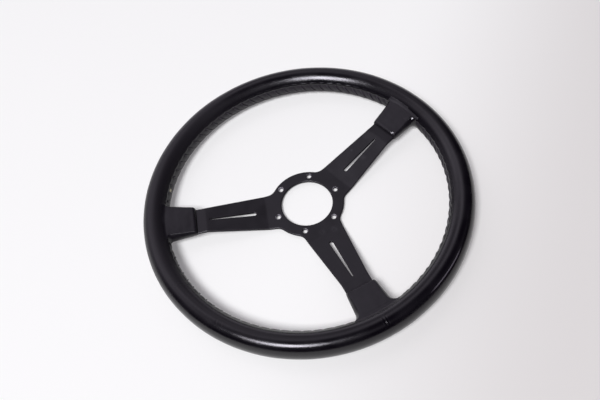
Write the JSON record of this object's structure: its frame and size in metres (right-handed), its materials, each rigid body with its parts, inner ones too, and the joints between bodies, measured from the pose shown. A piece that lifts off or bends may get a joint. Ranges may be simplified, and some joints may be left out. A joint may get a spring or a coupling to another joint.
{
  "type": "car steering wheel",
  "caption": "Dished three-spoke car steering wheel with a padded, laced leather rim, slotted flat metal spokes, padded spoke-end covers and a bolt-on open hub.",
  "frame": {"origin": "centre of the hub's back face, on the wheel's axis", "axes": "+Z along the wheel's axis towards the driver, -Y along the bottom spoke, +X to the driver's right"},
  "size_m": [0.38, 0.38, 0.031],
  "materials": {
    "plate": "satin black",
    "hoop": "bare",
    "rim_leather": "smooth black",
    "cover_leather": "matte black",
    "thread": "waxed black thread"
  },
  "bodies": {
    "root": {"spoke_plate": "plate", "rim_hoop": "hoop", "rim_grip": "rim_leather", "lacing_top": "thread", "lacing_left": "thread", "lacing_right": "thread", "left_spoke_cover": "cover_leather", "right_spoke_cover": "cover_leather", "bottom_spoke_cover": "cover_leather"}
  },
  "joints": []
}
